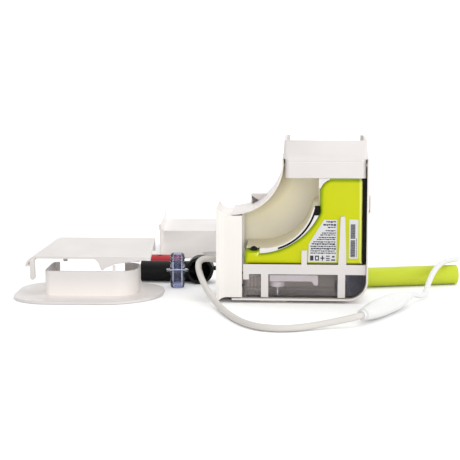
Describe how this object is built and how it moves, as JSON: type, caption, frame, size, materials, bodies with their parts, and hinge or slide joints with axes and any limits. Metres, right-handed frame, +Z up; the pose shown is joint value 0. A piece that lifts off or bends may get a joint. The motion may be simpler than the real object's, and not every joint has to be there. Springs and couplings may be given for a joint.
{
  "type": "condensate pump",
  "caption": "Mini condensate pump with reservoir in an L-shaped trunking elbow, with collars, cover plates, cable with in-line connector and hose fittings.",
  "frame": {"origin": "on the table, 3 mm below the open wall-side rim of the elbow, in the plane of that rim and below the centre line of the vertical duct", "axes": "+X towards the closed side of the elbow, +Y from the wall plane into the room, +Z up through the vertical mouth"},
  "size_m": [0.4631, 0.5139, 0.1642],
  "materials": {
    "white_plastic": "satin",
    "ivory_plastic": "satin",
    "lime_plastic": "satin",
    "black_foam": "matte",
    "black_rubber": "satin",
    "steel": "satin",
    "spring_steel": "satin",
    "copper_wire": "satin",
    "smoky_clear": "gloss",
    "clear_plastic": "gloss",
    "label_film": "satin",
    "dark_plastic": "satin",
    "board_green": "satin",
    "contact_brass": "gloss",
    "cable_sheath": "satin",
    "red_plastic": "gloss",
    "valve_rubber": "satin",
    "hose_green": "gloss",
    "filter_mesh": "matte",
    "magnet": "matte"
  },
  "bodies": {
    "pump_unit": {"elbow_cover": "white_plastic", "pipe_partition": "white_plastic", "duct_foam": "black_foam", "side_foam": "black_foam", "housing_wall_side": "lime_plastic", "housing_room_side": "lime_plastic", "housing_screws": "steel", "cradle": "white_plastic", "reservoir_tub": "smoky_clear", "reservoir_seal": "black_rubber", "float_carrier": "white_plastic", "float_pin": "steel", "suction_tube": "clear_plastic", "suction_filter": "filter_mesh", "vent_grommet": "black_rubber", "rating_label": "label_film", "barcode_label": "label_film", "solenoid_yoke": "steel", "coil_bobbin": "dark_plastic", "coil_winding": "copper_wire", "piston_tube": "steel", "spring_lower": "spring_steel", "spring_upper": "spring_steel", "inlet_cap": "dark_plastic", "outlet_cap": "dark_plastic", "damper_posts": "black_rubber", "circuit_board": "board_green", "board_parts": "dark_plastic", "hall_sensors": "dark_plastic", "cable_gland": "cable_sheath", "power_cable": "cable_sheath", "connector_plug": "cable_sheath", "contact_pins": "contact_brass"},
    "float_group": {"float": "white_plastic", "float_magnet": "magnet"},
    "piston_group": {"piston": "steel"},
    "inlet_valve_group": {"inlet_valve": "valve_rubber"},
    "outlet_valve_group": {"outlet_valve": "valve_rubber"},
    "latch_slider": {"release_slider": "white_plastic"},
    "top_collar": {"vertical_collar": "white_plastic"},
    "side_collar": {"horizontal_collar": "ivory_plastic"},
    "socket_group": {"connector_socket": "cable_sheath", "tail_cable": "cable_sheath"},
    "plate_group": {"ceiling_plate": "white_plastic"},
    "cover_group": {"joint_cover": "white_plastic"},
    "coupler_group": {"duct_coupler": "white_plastic"},
    "rubber_elbow_group": {"rubber_inlet_elbow": "black_rubber"},
    "adaptor_group": {"hose_adaptor": "clear_plastic"},
    "clip_group": {"red_clip": "red_plastic"},
    "drain_hose_group": {"drain_hose": "hose_green"}
  },
  "joints": [
    {"name": "float_rise", "type": "slide", "parent": "pump_unit", "child": "float_group", "axis": [0, 0, 1], "range_m": [-0.0064, 0.0002]},
    {"name": "piston_stroke", "type": "slide", "parent": "pump_unit", "child": "piston_group", "axis": [0, 0, 1], "range_m": [-0.003, 0.003], "stiffness_N_per_m": 900, "deforming": ["spring_lower", "spring_upper"]},
    {"name": "inlet_valve_lift", "type": "slide", "parent": "pump_unit", "child": "inlet_valve_group", "axis": [0, 0, 1], "range_m": [0, 0.0008]},
    {"name": "outlet_valve_lift", "type": "slide", "parent": "pump_unit", "child": "outlet_valve_group", "axis": [0, 0, 1], "range_m": [0, 0.0008]},
    {"name": "latch_travel", "type": "slide", "parent": "pump_unit", "child": "latch_slider", "axis": [0, 1, 0], "range_m": [0, 0.005]},
    {"name": "top_collar_pull", "type": "slide", "parent": "pump_unit", "child": "top_collar", "axis": [0, 0, 1], "range_m": [0, 0.014]},
    {"name": "side_collar_pull", "type": "slide", "parent": "pump_unit", "child": "side_collar", "axis": [-1, 0, 0], "range_m": [0, 0.006]},
    {"name": "connector_unplug", "type": "slide", "parent": "pump_unit", "child": "socket_group", "axis": [0.4571, 0.8894, 0], "range_m": [0, 0.012]},
    {"name": "ceiling_plate_lift", "type": "slide", "parent": "pump_unit", "child": "plate_group", "axis": [0, 0, 1], "range_m": [0, 0.03]},
    {"name": "joint_cover_lift", "type": "slide", "parent": "plate_group", "child": "cover_group", "axis": [0, 0, 1], "range_m": [0, 0.04]},
    {"name": "coupler_lift", "type": "slide", "parent": "pump_unit", "child": "coupler_group", "axis": [0, 0, 1], "range_m": [0, 0.04]},
    {"name": "rubber_elbow_lift", "type": "slide", "parent": "pump_unit", "child": "rubber_elbow_group", "axis": [0, 0, 1], "range_m": [0, 0.03]},
    {"name": "adaptor_lift", "type": "slide", "parent": "pump_unit", "child": "adaptor_group", "axis": [0, 0, 1], "range_m": [0, 0.03]},
    {"name": "clip_lift", "type": "slide", "parent": "pump_unit", "child": "clip_group", "axis": [0, 0, 1], "range_m": [0, 0.03]},
    {"name": "drain_hose_draw", "type": "slide", "parent": "pump_unit", "child": "drain_hose_group", "axis": [0.9713, 0.2379, 0], "range_m": [0, 0.06]}
  ]
}
